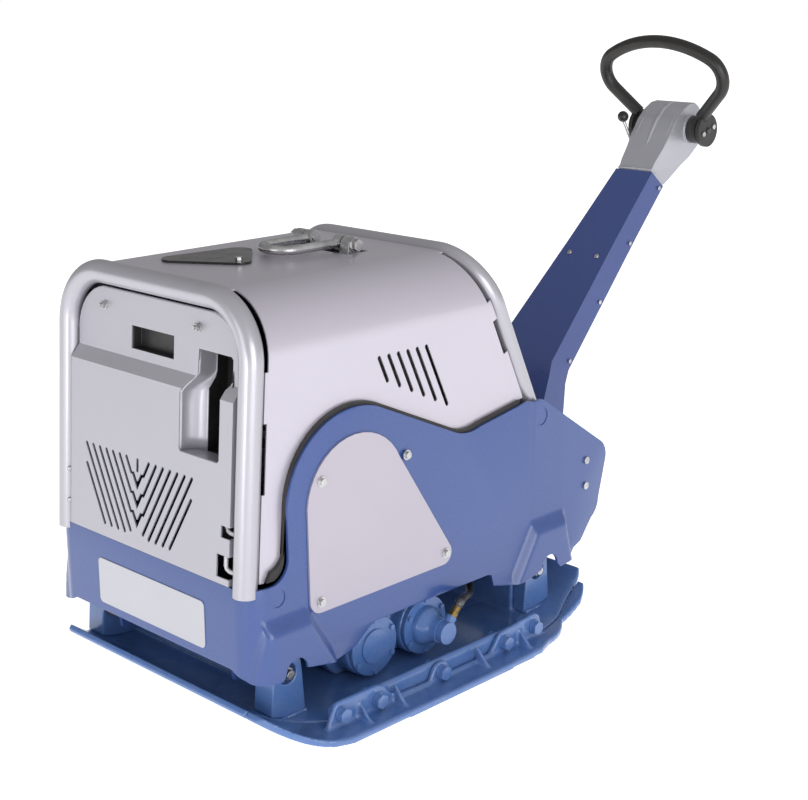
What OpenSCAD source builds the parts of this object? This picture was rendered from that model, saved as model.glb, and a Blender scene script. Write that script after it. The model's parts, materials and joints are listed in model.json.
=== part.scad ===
// Reversible plate compactor: a vibrating base plate with its exciter, and an engine frame
// that rides on four rubber buffers and carries the hood, the lifting bail and the tow bar.
// Origin: middle of the sole, on the ground. +Z up, -Y the grille end, +Y the tow bar end.

/* [Base plate] */
// Half width of the base plate between its lips
base_half = 365; // [350:1:370]
// Half width of the two upturned lips
lip_half = 275; // [265:1:285]
// Distance from the origin to the front lip's edge
front_reach = 450; // [440:1:456]
// Distance from the origin to the rear lip's edge
rear_reach = 490; // [480:1:500]
// Thickness of the sole
sole_t = 14; // [10:1:18]
// Distance from the origin to the outer edge of the extension plate
wing_half = 425; // [415:1:440]

/* [Exciter] */
// Height of the exciter shafts
exciter_z = 82; // [81:1:84]
// Place of the front exciter shaft
front_shaft_y = -130; // [-131:1:-129]
// Distance between the two exciter shafts
shaft_pitch = 140; // [139:1:141]
// Radius of the exciter tubes
exciter_r = 62; // [60:1:64]

/* [Frame] */
// Distance from the middle to the outside of a side plate
frame_half = 295; // [294:1:296]
// Thickness of the frame's sheet
sheet_t = 6; // [4:1:7]
// Distance from the middle to a buffer's bolt
buffer_y = 352; // [348:1:356]
// Height of the buffers' bolts
buffer_z = 100; // [98:1:102]

/* [Hood and tubes] */
// Outer diameter of the front protective tube
tube_d = 44; // [40:1:46]
// Outer diameter of the rear protective tube
rear_tube_d = 38; // [34:1:40]
// Distance from the middle to a tube's centre line
tube_half = 266; // [262:1:267]
// Half width of the hood
hood_half = 280; // [276:1:283]
// Height of the hood's top
hood_top = 797; // [790:1:800]

/* [Tow bar] */
// Distance from the origin to the grip's hub
hub_y = 1186; // [1180:1:1192]
// Height of the grip's hub
hub_z = 948; // [944:1:952]

/* [Hidden] */
$fn = 48;

blue = "cornflowerblue";
silver = "gainsboro";
steel = "silver";
black = "dimgray";
fit = 0.05;

rear_shaft_y = front_shaft_y + shaft_pitch;
lean_front = 4;
lean_rear = 25.4;
front_tube_y = -432;
front_tube_z = 274;
rear_tube_y = 330;
rear_tube_z = 469;
tube_r = tube_d / 2;
rear_tube_r = rear_tube_d / 2;
inner_half = frame_half - sheet_t;

// Bolts that hold the extension plate: distance along the machine and height
wing_bolts = [[-307, 37], [-215, 32], [-43, 30], [141, 32], [232, 37]];
wing_wall_x = base_half + 1;
wing_wall_t = 10;

// ---------- small helpers ----------

function arc(c, r, a0, a1, n = 8) =
  [for (i = [0 : n]) let (a = a0 + (a1 - a0) * i / n) [c[0] + r * cos(a), c[1] + r * sin(a)]];

// Draws a (y, z) outline from x0 to x1
module along_x(x0, x1) {
  translate([x0, 0, 0]) rotate([90, 0, 90]) linear_extrude(x1 - x0) children();
}

// Draws an (x, z) outline from y0 to y1
module along_y(y0, y1) {
  translate([0, y1, 0]) rotate([90, 0, 0]) linear_extrude(y1 - y0) children();
}

module both_sides() {
  children();
  mirror([1, 0, 0]) children();
}

// Cylinder whose axis runs along X from x0 to x1
module rod_x(x0, x1, y, z, r, n = 48) {
  translate([x0, y, z]) rotate([0, 90, 0]) cylinder(r = r, h = x1 - x0, $fn = n);
}

// Hexagon head whose axis runs along X
module hex_x(x0, x1, y, z, across) {
  translate([x0, y, z]) rotate([0, 90, 0]) cylinder(d = across / cos(30), h = x1 - x0, $fn = 6);
}

module slab(low, high) {
  translate(low) cube(high - low);
}

// Rounded rectangle from low to high corner
module round_rect(low, high, r) {
  polygon(concat(
    arc([high[0] - r, high[1] - r], r, 0, 90), arc([low[0] + r, high[1] - r], r, 90, 180),
    arc([low[0] + r, low[1] + r], r, 180, 270), arc([high[0] - r, low[1] + r], r, 270, 360)));
}

// ---------- base plate ----------

front_bend_y = -330;
rear_bend_y = 310;
front_bend_r = 182;
rear_bend_r = 290;

function bend_angle(run, r) = asin(run / r);

// Side profile of the rockered sole, from offset0 to offset1 above its underside
module sole_profile(low, high) {
  fa = bend_angle(front_reach + front_bend_y, front_bend_r);
  ra = bend_angle(rear_reach - rear_bend_y, rear_bend_r);
  polygon(concat(
    arc([front_bend_y, front_bend_r], front_bend_r - low, 270 - fa, 270, 10),
    arc([rear_bend_y, rear_bend_r], rear_bend_r - low, 270, 270 + ra, 10),
    arc([rear_bend_y, rear_bend_r], rear_bend_r - high, 270 + ra, 270, 10),
    arc([front_bend_y, front_bend_r], front_bend_r - high, 270, 270 - fa, 10)));
}

// Plan of the base plate: wide in the middle, narrower at its lips
module base_plan(grow = 0) {
  b = base_half + grow;
  l = lip_half + grow;
  taper = concat([[b, -285], [b, 275], [b - 16, 345], [l + 48, 405], [l + 36, 448]],
    arc([l - 6, 452], 40, 0, 70, 6), [[l - 20, rear_reach + 20]]);
  right = concat([[l, -front_reach - 20], [l, -408], [l + 22, -372]], taper);
  left = [for (i = [len(right) - 1 : -1 : 0]) [-right[i][0], right[i][1]]];
  polygon(concat(right, left));
}

module base_plate() {
  wall_y = 298;
  wall_high = 84;
  color(blue) {
    difference() {
      union() {
        intersection() {
          along_x(-base_half, base_half) sole_profile(0, sole_t);
          translate([0, 0, -1]) linear_extrude(200) base_plan();
        }
        // upright walls behind the two lips
        slab([-258, -wall_y - 10, 6], [258, -wall_y, wall_high]);
        slab([-258, wall_y, 6], [258, wall_y + 10, wall_high]);
        // low walls along both sides, which take the extension bolts
        both_sides() slab([base_half - 14, -280, 6], [base_half, 268, 50]);
      }
      for (x = [-190, -96, 30, 155]) {
        translate([x, -wall_y + 1, 34]) rotate([90, 0, 0]) cylinder(r = 5, h = 12);
      }
      both_sides() for (p = wing_bolts) {
        if (p[0] > -280) rod_x(base_half - 15, base_half + 1, p[0], p[1], 8.5);
      }
      // relief in the sole under the gears
      for (y = shaft_ys) rod_x(gear_x0 - 4, gear_x1 + 4, y, exciter_z, gear_case_r - 3.5);
    }
  }
}

module buffer_lugs() {
  lug_half = 42;
  color(blue)
  both_sides() for (s = [-1, 1]) difference() {
    along_x(234, 284) difference() {
      polygon(concat(
        [[s * buffer_y - lug_half, 14.2], [s * buffer_y + lug_half, 14.2]],
        arc([s * buffer_y, 108], lug_half - 8, 0, 180, 12)));
      sole_profile(-5, sole_t + 0.2);
    }
    // recess for the nut and the bolt's bore
    rod_x(262, 290, s * buffer_y, buffer_z, 20);
    rod_x(230, 290, s * buffer_y, buffer_z, 9);
  }
}

// ---------- extension plate on the right side ----------

module wing_plan() {
  corner = 150;
  difference() {
    polygon(concat(
      [[lip_half, -front_reach + 1]],
      arc([wing_half - corner, -300], corner, 270, 360, 12),
      [[wing_half + 3, 65], [wing_half - 3, 205]],
      arc([wing_half - 168, 235], corner, 5, 45, 6),
      [[352, 418], [340, 442], [330, 455], [315, 456]]));
    base_plan(1);
  }
}

module wing_wall_outline() {
  polygon(concat(
    [[-342, 12], [-326, 46]], arc([-307, 40], 22, 120, 90, 3), arc([-215, 38], 22, 90, 45, 4),
    [[-166, 22], [-74, 20]], arc([-43, 27], 24, 150, 30, 6), [[-12, 20], [100, 20]],
    arc([141, 34], 22, 150, 100, 4), arc([232, 42], 22, 90, 20, 5), [[262, 12]]));
}

module gusset(y) {
  along_y(y - 3, y + 3) polygon([[wing_wall_x + 9, 12], [wing_wall_x + 46, 12], [wing_wall_x + 9, 50]]);
}

module extension_plate() {
  x0 = wing_wall_x;
  color(blue)
  difference() {
    union() {
      intersection() {
        along_x(lip_half, wing_half + 6) sole_profile(0, sole_t);
        translate([0, 0, -1]) linear_extrude(200) wing_plan();
      }
      along_x(x0, x0 + wing_wall_t) wing_wall_outline();
      for (y = [-262, -170, 60, 186]) gusset(y);
    }
    for (p = wing_bolts) rod_x(x0 - 1, x0 + wing_wall_t + 1, p[0], p[1], 8.5);
    rod_x(x0 - 1, x0 + wing_wall_t + 1, 98, 27, 7);
  }
}

module extension_bolts() {
  x1 = wing_wall_x + wing_wall_t;
  color(blue)
  for (p = wing_bolts) {
    rod_x(x1, x1 + 3, p[0], p[1], 15);
    hex_x(x1 + 3, x1 + 14, p[0], p[1], 25);
    if (p[0] > -280) {
      rod_x(base_half - 26, x1, p[0], p[1], 8.4);
      hex_x(base_half - 26, base_half - 14.1, p[0], p[1], 24);
    } else {
      rod_x(wing_wall_x - 12, x1, p[0], p[1], 8.4);
      hex_x(wing_wall_x - 12, wing_wall_x - 0.1, p[0], p[1], 24);
    }
  }
}

// ---------- exciter ----------

right_end = 272;
left_end = -214;
bore_r = 50;
gear_case_x = [188, 220];
gear_x0 = 198;
gear_x1 = 210;
gear_case_r = 79;
shaft_ys = [front_shaft_y, rear_shaft_y];

module exciter_housing() {
  color(blue)
  difference() {
    union() {
      for (y = shaft_ys) rod_x(left_end, right_end, y, exciter_z, exciter_r);
      for (y = shaft_ys) rod_x(gear_case_x[0], gear_case_x[1], y, exciter_z, gear_case_r);
      slab([left_end + 20, front_shaft_y, exciter_z - 50], [240, rear_shaft_y, exciter_z + 46]);
      slab(
        [gear_case_x[0], front_shaft_y, exciter_z - 50],
        [gear_case_x[1], rear_shaft_y, exciter_z + gear_case_r]);
      // feet that stand on the sole
      for (y = shaft_ys) slab([left_end + 20, y - 30, sole_t + 0.1], [180, y + 30, exciter_z - 20]);
    }
    for (y = shaft_ys) rod_x(left_end - 1, right_end + 1, y, exciter_z, bore_r);
    // room for the two gears
    for (y = shaft_ys) rod_x(gear_x0 - 4, gear_x1 + 4, y, exciter_z, gear_case_r - 3);
    slab([-400, -300, -50], [400, 300, sole_t + 0.1]);
  }
}

cover_t = 10;
cover_out = right_end + cover_t;

module cover_disc(x0, y, r, hub_r) {
  difference() {
    rod_x(x0, x0 + cover_t, y, exciter_z, r);
    for (a = [30 : 60 : 330]) {
      rod_x(x0 - 1, x0 + cover_t + 1, y + (r - 7) * cos(a), exciter_z + (r - 7) * sin(a), 3.2);
    }
    if (hub_r > 0) rod_x(x0 - 1, x0 + cover_t + 1, y, exciter_z, hub_r);
  }
}

module exciter_covers() {
  r = exciter_r - 3;
  color(blue) {
    cover_disc(right_end, front_shaft_y, r, 0);
    rod_x(cover_out, cover_out + 4, front_shaft_y, exciter_z, 34);
    cover_disc(right_end, rear_shaft_y, r, 12);
    cover_disc(left_end - cover_t, front_shaft_y, r, 21);
    cover_disc(left_end - cover_t, rear_shaft_y, r, 0);
  }
}

module cover_bolts() {
  r = exciter_r - 10;
  color(blue)
  for (y = shaft_ys, a = [30 : 60 : 330]) {
    yy = y + r * cos(a);
    zz = exciter_z + r * sin(a);
    rod_x(right_end, cover_out, yy, zz, 3);
    hex_x(cover_out, cover_out + 5, yy, zz, 10);
    rod_x(left_end - cover_t, left_end, yy, zz, 3);
    hex_x(left_end - cover_t - 5, left_end - cover_t, yy, zz, 10);
  }
}

bearing_w = 24;
module exciter_bearings() {
  color(steel)
  for (x = [left_end + 8, right_end - 8 - bearing_w], y = shaft_ys) difference() {
    rod_x(x, x + bearing_w, y, exciter_z, bore_r - 0.1);
    rod_x(x - 1, x + bearing_w + 1, y, exciter_z, 20 + fit);
  }
}

// Toothed disc whose axis runs along X
module gear_x(x0, x1, y, teeth, pitch_r, bore, phase) {
  m = 2 * pitch_r / teeth;
  step = 360 / teeth;
  outline = [for (i = [0 : teeth - 1]) for (k = [0 : 3])
    let (a = phase + step * (i + [-0.25, -0.10, 0.10, 0.25][k]),
         r = pitch_r + m * [-1.15, 0.85, 0.85, -1.15][k])
    [r * cos(a), r * sin(a)]];
  translate([x0, y, exciter_z]) rotate([90, 0, 90]) linear_extrude(x1 - x0) difference() {
    polygon(outline);
    circle(r = bore);
  }
}

// Shaft with its half-round eccentric weight hanging down
weight_x = [-172, 172];
module exciter_shaft(y, x0, x1) {
  rod_x(x0, x1, y, exciter_z, 20);
  intersection() {
    rod_x(weight_x[0], weight_x[1], y, exciter_z, 46);
    slab([weight_x[0], y - 60, exciter_z - 60], [weight_x[1], y + 60, exciter_z]);
  }
}
module front_exciter_shaft() {
  color(steel) exciter_shaft(front_shaft_y, pulley_x - 14, right_end - 4);
}
module rear_exciter_shaft() {
  color(steel) difference() {
    exciter_shaft(rear_shaft_y, left_end + 4, right_end - 4);
    rod_x(right_end - 50, right_end, rear_shaft_y, exciter_z, 12);
  }
}

gear_teeth = 28;
module front_exciter_gear() {
  color(steel) gear_x(gear_x0, gear_x1, front_shaft_y, gear_teeth, shaft_pitch / 2, 20 + fit, 0);
}
module rear_exciter_gear() {
  mesh_phase = 180 / gear_teeth;
  color(steel) gear_x(gear_x0, gear_x1, rear_shaft_y, gear_teeth, shaft_pitch / 2, 20 + fit, mesh_phase);
}

pulley_x = -252;
module pulley_ring(x, y, z, r, bore, half = 9) {
  translate([x, y, z]) rotate([0, 90, 0]) rotate_extrude($fn = 64) polygon([
    [bore, -half], [r, -half], [r, -half + 2], [r - 8, -3],
    [r - 8, 3], [r, half - 2], [r, half], [bore, half]]);
}
module exciter_pulley() {
  color(steel) pulley_ring(pulley_x, front_shaft_y, exciter_z, 42, 20.01);
}

// Hydraulic cylinder that shifts the rear weights to change the direction of travel
cylinder_end = 345;
module phase_cylinder() {
  color(blue) difference() {
    union() {
      translate([cover_out, rear_shaft_y, exciter_z]) rotate([0, 90, 0])
        rotate_extrude() polygon([[0, 0], [40, 0], [38, 12], [28, 24], [24, 34], [24, 46], [0, 46]]);
      rod_x(cover_out + 46, cylinder_end, rear_shaft_y, exciter_z, 22);
      // boss that takes the hose fitting
      translate([cylinder_end - 14, rear_shaft_y, exciter_z]) rotate([-45, 0, 0]) cylinder(r = 11, h = 34);
    }
    rod_x(cover_out - 1, cylinder_end - 8, rear_shaft_y, exciter_z, 12);
  }
}
module phase_piston() {
  color(steel) rod_x(262, 312, rear_shaft_y, exciter_z, 11.5);
}

fitting_x = cylinder_end - 14;
module hose_fitting() {
  color("goldenrod") translate([fitting_x, rear_shaft_y, exciter_z]) rotate([-45, 0, 0]) {
    translate([0, 0, 34]) cylinder(d = 22, h = 9, $fn = 6);
    translate([0, 0, 43]) cylinder(r = 8, h = 14);
  }
}

// ---------- rubber buffers between the plate and the frame ----------

buffer_in = 178;
module rubber_buffers() {
  color(black) both_sides() for (s = [-1, 1]) {
    rod_x(buffer_in + 4, 230, s * buffer_y, buffer_z, 40);
  }
}
module buffer_bolts() {
  color(steel) both_sides() for (s = [-1, 1]) {
    rod_x(230, 234, s * buffer_y, buffer_z, 41);
    rod_x(234, 282, s * buffer_y, buffer_z, 8.9);
    rod_x(262, 265, s * buffer_y, buffer_z, 18);
    hex_x(265, 284, s * buffer_y, buffer_z, 24);
    rod_x(284, 293, s * buffer_y, buffer_z, 8.9);
  }
}
module buffer_brackets() {
  color(blue) both_sides() for (s = [-1, 1]) {
    rod_x(buffer_in, buffer_in + 4, s * buffer_y, buffer_z, 41);
    along_x(buffer_in - 10, buffer_in) polygon([
      [s * buffer_y - 36, 64], [s * buffer_y + 36, 64],
      [s * buffer_y + 50, deck_z], [s * buffer_y - 50, deck_z]]);
  }
}

// ---------- frame ----------

deck_z = 205;
arch_c = [-188, 403];
arch_r = 167;

// Outline of a side plate: a high arch over the side cover and a tail that holds the tow bar
function side_upper() = concat(
  [[-400, 283]],
  arc([-396, 337], 37, -80, 0, 6),
  arc(arch_c, arch_r, 176, 70, 16),
  arc([121, 560], 104, 245, 288, 6),
  arc([296, 444], 39, 105, 60, 4),
  arc([326, 438], 44, 75, 55, 3),
  arc([522, 311], 42, 55, -8, 6),
  [[541, 215], [516, 163], [490, 138], [460, 124]]);
function side_lower() = concat(
  [[452, 112], [392, 104]], arc([buffer_y + 4, 116], 26, 0, 180, 8),
  [[buffer_y - 34, 116], [262, 104], [236, 104], [200, 112]],
  arc([176, 108], 33, 60, 90, 3),
  arc([-134, 108], 33, 90, 130, 3), [[-190, 108], [-206, 100], [-250, 100], [-322, 116]],
  arc([-buffer_y - 4, 116], 26, 0, 180, 8), [[-390, 106], [-400, 112]]);

module side_outline() {
  polygon(concat(side_upper(), side_lower()));
}

// Pressed-out pocket that gives a buffer room: a raised panel with sloping bands above and beside it.
// end is -1 for the front pocket and 1 for the rear one; the band is wider towards that end.
pocket_proud = 20;
function pocket_box(end, inward, outward) =
  let (a = end * (buffer_y - inward), b = end * (buffer_y + outward)) [min(a, b), max(a, b)];
module pocket_layer(end, x1, inward, outward, z1, low = 80) {
  y = pocket_box(end, inward, outward);
  slab([frame_half - sheet_t - 2, y[0], low], [x1, y[1], z1]);
}
module pocket_body(end, out) {
  hull() {
    pocket_layer(end, frame_half + out - pocket_proud, 98, 92, 124);
    pocket_layer(end, frame_half + out - pocket_proud, 37, 66, 222);
    pocket_layer(end, frame_half + out, 80, 76, 120);
    pocket_layer(end, frame_half + out, 19, 53, 197);
  }
}
module pocket(end) {
  difference() {
    pocket_body(end, pocket_proud);
    translate([-sheet_t, 0, 0]) pocket_body(end, pocket_proud);
  }
}

module pocket_keep() {
  along_x(inner_half, frame_half + 30) polygon(concat([[-400, 283], [560, 283], [460, 124]], side_lower()));
}

module tube_bore_front(extra) {
  translate([tube_half, front_tube_y, front_tube_z]) rotate([-lean_front, 0, 0])
    translate([0, 0, -20]) cylinder(r = tube_r + extra, h = 300);
}

module frame_side() {
  difference() {
    union() {
      difference() {
        along_x(inner_half, frame_half) side_outline();
        // openings behind the pressed pockets
        for (end = [-1, 1]) along_x(inner_half - 1, frame_half + 1) polygon([
          [end * (buffer_y - 90), 60], [end * (buffer_y - 90), 122], [end * (buffer_y - 34), 212],
          [end * (buffer_y + 62), 212], [end * (buffer_y + 84), 122], [end * (buffer_y + 84), 60]]);
      }
      intersection() {
        union() for (end = [-1, 1]) pocket(end);
        pocket_keep();
      }
    }
    tube_bore_front(0.3);
    // shallow round recesses
    rod_x(frame_half - 2, frame_half + 1, 341, 443, 19);
    rod_x(frame_half - 2, frame_half + 1, -381, 258, 17);
    for (p = cover_screws) rod_x(inner_half - 1, frame_half + 1, p[0], p[1], 5);
    for (p = tail_screws) rod_x(inner_half - 1, frame_half + 1, p[0], p[1], 5);
  }
}
module frame_side_right() { color(blue) frame_side(); }
module frame_side_left() { color(blue) mirror([1, 0, 0]) frame_side(); }

// Front plate with rounded vertical corners
corner_r = 45;
module frame_front() {
  y0 = -445;
  color(blue) difference() {
    union() {
      along_y(y0, y0 + sheet_t) polygon([[-frame_half + corner_r, 125], [frame_half - corner_r, 125],
        [frame_half - corner_r, 281], [-frame_half + corner_r, 281]]);
      both_sides() intersection() {
        translate([frame_half - corner_r, y0 + corner_r, 106]) difference() {
          cylinder(r = corner_r, h = 177);
          translate([0, 0, -1]) cylinder(r = corner_r - sheet_t, h = 180);
        }
        slab([frame_half - corner_r, y0 - 1, 100], [frame_half + 1, y0 + corner_r, 300]);
        along_y(y0 - 1, y0 + 60) polygon([[240, 125], [272, 108], [300, 106], [300, 283], [240, 281]]);
      }
    }
    both_sides() tube_bore_front(0.3);
  }
}

// Rear closing plate between the side plates, under and behind the tow bar's foot
module frame_rear() {
  color(blue) difference() {
    along_x(-inner_half + 0.1, inner_half - 0.1) polygon([
      [458, 130], [488, 144], [512, 168], [535, 215], [529, 218], [506, 171], [484, 149], [456, 136]]);
    slab([-80, 500, 190], [80, 560, 240]);
  }
}

module engine_deck() {
  color(blue) difference() {
    union() {
      slab([-inner_half + 0.1, -399, deck_z], [inner_half - 0.1, 440, deck_z + 6]);
      // cheeks that hold the hinge pin of the tow bar
      both_sides() along_x(112, 124) polygon(concat(
        [[400, deck_z + 6], [515, deck_z + 6]], arc([pin_y, pin_z], 30, -20, 140, 8), [[400, 280]]));
      slab([-124, 400, deck_z + 6], [124, 408, 262]);
    }
    both_sides() {
      rod_x(111, 125, pin_y, pin_z, 14);
      tube_bore_front(0.3);
    }
    // way through for the drive belt
    slab([pulley_x - 16, -190, deck_z - 1], [pulley_x + 16, 30, deck_z + 7]);
    // way through for the hose
    slab([228, 130, deck_z - 1], [282, 200, deck_z + 7]);
  }
}

module front_tube() {
  bend = 106;
  high = 512;
  color(silver)
  translate([0, front_tube_y, front_tube_z]) rotate([-lean_front, 0, 0]) {
    both_sides() {
      translate([tube_half, 0, -6]) difference() {
        cylinder(r = tube_r, h = high - bend + 6);
        translate([0, 0, -1]) cylinder(r = tube_r - 4, h = 30);
      }
      translate([tube_half - bend, 0, high - bend]) rotate([90, 0, 0])
        rotate_extrude(angle = 90) translate([bend, 0]) circle(r = tube_r);
    }
    translate([-tube_half + bend, 0, high]) rotate([0, 90, 0])
      cylinder(r = tube_r, h = 2 * (tube_half - bend));
  }
}

module rear_tube() {
  bend = 112;
  low = -250;
  high = 354;
  color(silver)
  translate([0, rear_tube_y, rear_tube_z]) rotate([lean_rear, 0, 0]) {
    both_sides() {
      translate([tube_half, 0, low]) cylinder(r = rear_tube_r, h = high - bend - low);
      translate([tube_half - bend, 0, high - bend]) rotate([90, 0, 0])
        rotate_extrude(angle = 90) translate([bend, 0]) circle(r = rear_tube_r);
    }
    translate([-tube_half + bend, 0, high]) rotate([0, 90, 0])
      cylinder(r = rear_tube_r, h = 2 * (tube_half - bend));
  }
}

// ---------- hood ----------

hood_bend = 112;
hood_t = 3;

module hood_section(shrink) {
  h = hood_half - shrink;
  t = hood_top - shrink;
  r = hood_bend - shrink;
  polygon(concat([[h, 200], [h, t - r]], arc([h - r, t - r], r, 0, 90, 14),
    arc([-h + r, t - r], r, 90, 180, 14), [[-h, t - r], [-h, 200]]));
}

// Side view of the hood between the two tubes, above the side plates
front_edge = [[-411, 289], [-399.5, 452], [-373.5, 820]];
rear_edge = [[140.5, 820], [292.5, 500]];
filler_at = [-68, -207];
seal_gap = 5;
module hood_side_view() {
  difference() {
    polygon(concat(front_edge, rear_edge, [[355, 345], [-380, 285]]));
    translate([0, seal_gap]) polygon(concat(side_upper(), [[560, 90], [-400, 90]]));
  }
}

module hood() {
  color(silver) difference() {
    intersection() {
      difference() {
        along_y(-425, 330) hood_section(0);
        along_y(-426, 331) hood_section(hood_t);
      }
      along_x(-300, 300) hood_side_view();
    }
    both_sides() for (i = [0 : 5]) {
      top = [-112 + 25 * i, 644];
      low = [-91 + 32.4 * i, 598 - 15.4 * i];
      along_x(hood_half - 10, hood_half + 5) hull() {
        translate(top) circle(r = 4.2, $fn = 16);
        translate(low) circle(r = 4.2, $fn = 16);
      }
    }
    // slots beside the tubes
    both_sides() {
      front_lean() {
        slab([185, 10, 395], [300, 27, 560]);
        slab([250, 10, 178], [300, 27, 305]);
      }
      rear_lean() {
        slab([190, -31, 271], [300, -10, 420]);
        slab([250, -33, 149], [300, -10, 228]);
      }
    }
    // hole over the lifting column and the filler neck
    slab([-88, -8, hood_top - 20], [88, 50, hood_top + 5]);
    translate([filler_at[0], filler_at[1], hood_top - 20]) cylinder(r = 30, h = 30);
  }
}

module rear_lean() {
  translate([0, rear_tube_y, rear_tube_z]) rotate([lean_rear, 0, 0]) children();
}

// Rubber seals that close the gap between the hood and the side plates
module hood_seals() {
  color(black) both_sides() along_x(hood_half + 0.3, inner_half - 0.3) intersection() {
    difference() {
      translate([0, seal_gap + 2]) polygon(concat(side_upper(), [[560, 90], [-400, 90]]));
      translate([0, -12]) polygon(concat(side_upper(), [[560, 90], [-400, 90]]));
    }
    polygon([[-404, 290], [-388, 640], [100, 640], [286, 500], [268, 460], [100, 420], [-340, 290]]);
  }
}

// Panel that closes the back of the hood, in the plane of the rear tube
module rear_panel() {
  color(silver)
  translate([0, rear_tube_y, rear_tube_z]) rotate([lean_rear, 0, 0])
    difference() {
      along_y(-6, -2) round_rect([-242, -60], [242, 330], 90);
      for (i = [0 : 6]) slab([-120, -10, 60 + i * 26], [120, 5, 70 + i * 26]);
    }
}

// ---------- front panel ----------

module front_lean() {
  translate([0, front_tube_y, front_tube_z]) rotate([-lean_front, 0, 0]) children();
}

panel_half = 240;
panel_top = 482;
step_low = 339;
step_high = 363;
panel_front = -16;
panel_back = 2;

module panel_outline() {
  polygon(concat([[-panel_half, 8], [panel_half, 8]],
    arc([panel_half - 88, panel_top - 88], 88, 0, 90, 12),
    arc([-panel_half + 88, panel_top - 88], 88, 90, 180, 12)));
}

module pill(a, b, r) {
  hull() {
    translate(a) circle(r = r, $fn = 16);
    translate(b) circle(r = r, $fn = 16);
  }
}

// Chevron of slanted slots: arms lean towards a column of small V shapes
chevron_x = -28;
chevron_top = 180;
chevron_low = 35;
slot_pitch = 21;
slot_lean = 0.56;
module chevron() {
  translate([chevron_x, 0]) {
    for (s = [-1, 1], k = [0 : 7]) {
      off = 34 + slot_pitch * k;
      z0 = k == 7 ? chevron_top - 40 : chevron_top;
      x0 = off - slot_lean * (chevron_top - z0);
      drop = min(z0 - chevron_low, (x0 - 19) / slot_lean);
      pill([s * x0, z0], [s * (x0 - slot_lean * drop), z0 - drop], 3.6);
    }
    pill([0, chevron_top], [0, chevron_top - 20], 3.6);
    for (k = [0 : 2]) {
      tip = 122 - 37 * k;
      polygon([[0, tip], [-18, tip + 32], [-10, tip + 34], [0, tip + 17], [10, tip + 34], [18, tip + 32]]);
    }
  }
}

module pocket_outline() {
  polygon([
    [98, 224], [200, 224], [205, 229], [205, 354], [217, 370], [217, 408],
    [212, 413], [123, 413], [121, 370], [93, 332], [93, 229]]);
}

module front_panel() {
  t = 3;
  color(silver) front_lean() difference() {
    intersection() {
      difference() {
        along_x(-panel_half, panel_half) polygon([
          [panel_front, 8], [panel_front, step_low], [panel_back, step_high], [panel_back, 490],
          [18, 490], [18, 8]]);
        along_x(-panel_half + t, panel_half - t) polygon([
          [panel_front + t, 5], [panel_front + t, step_low - 1],
          [panel_back + t, step_high - 1], [panel_back + t, 478],
          [25, 478], [25, 5]]);
      }
      along_y(-30, 30) panel_outline();
    }
    along_y(-30, 12) chevron();
    along_y(-30, 12) pocket_outline();
    along_y(-30, 12) translate([-74, 381]) square([126, 43]);
    // notches at the lower right edge for the hinge hooks
    slab([panel_half - 24, -30, 94], [panel_half + 1, 30, 116]);
    slab([panel_half - 34, -30, 20], [panel_half + 1, 30, 62]);
  }
}

module panel_nuts() {
  color(steel) front_lean() {
    for (p = [[-158, 450], [121, 451]]) translate([p[0], panel_back, p[1]]) rotate([90, 0, 0]) {
      cylinder(r = 9, h = 2);
      translate([0, 0, 2]) cylinder(d = 15, h = 7, $fn = 6);
      translate([0, 0, 9]) cylinder(r = 4, h = 5);
    }
  }
}

// Recessed pocket with a dark opening for the starting controls
module control_pocket() {
  color(silver) front_lean() difference() {
    along_x(90, 222) polygon([
      [panel_front + 5, 220], [panel_front + 5, step_low - 6], [panel_back + 5, step_high + 2],
      [panel_back + 5, 418], [70, 418], [70, 220]]);
    along_y(-40, 66) intersection() {
      pocket_outline();
      translate([80, 200]) square([150, 230]);
    }
  }
}

module meter_window() {
  color(black) front_lean() difference() {
    slab([-80, panel_back + 4, 376], [58, 34, 430]);
    slab([-73, panel_back - 1, 382], [51, 24, 423]);
  }
}

// ---------- covers and name plate ----------

cover_screws = [[-276, 451], [-60, 452], [50, 226], [-282, 223]];
tail_screws = [[494, 257], [494, 314]];
module side_cover_outline() {
  polygon(concat(
    arc([-281, 229], 27, 190, 270, 5), arc([44, 226], 23, 270, 385, 6),
    arc([-188, 398], 123, 26, 176, 16)));
}
module side_covers() {
  color(silver) both_sides() difference() {
    along_x(frame_half + 0.2, frame_half + 4) side_cover_outline();
    for (p = cover_screws) rod_x(frame_half, frame_half + 5, p[0], p[1], 5);
  }
}
module side_cover_screws() {
  color(steel) both_sides() for (p = cover_screws) {
    rod_x(inner_half, frame_half + 4, p[0], p[1], 4.9);
    rod_x(frame_half + 4, frame_half + 6, p[0], p[1], 10);
    hex_x(frame_half + 6, frame_half + 11, p[0], p[1], 13);
  }
  color(steel) both_sides() for (p = tail_screws) {
    rod_x(inner_half, frame_half, p[0], p[1], 4.9);
    rod_x(frame_half, frame_half + 4, p[0], p[1], 8);
  }
}
module name_plate() {
  color("whitesmoke") along_y(-447, -445.1) round_rect([-155, 142], [167, 234], 10);
}

// ---------- engine ----------

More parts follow.
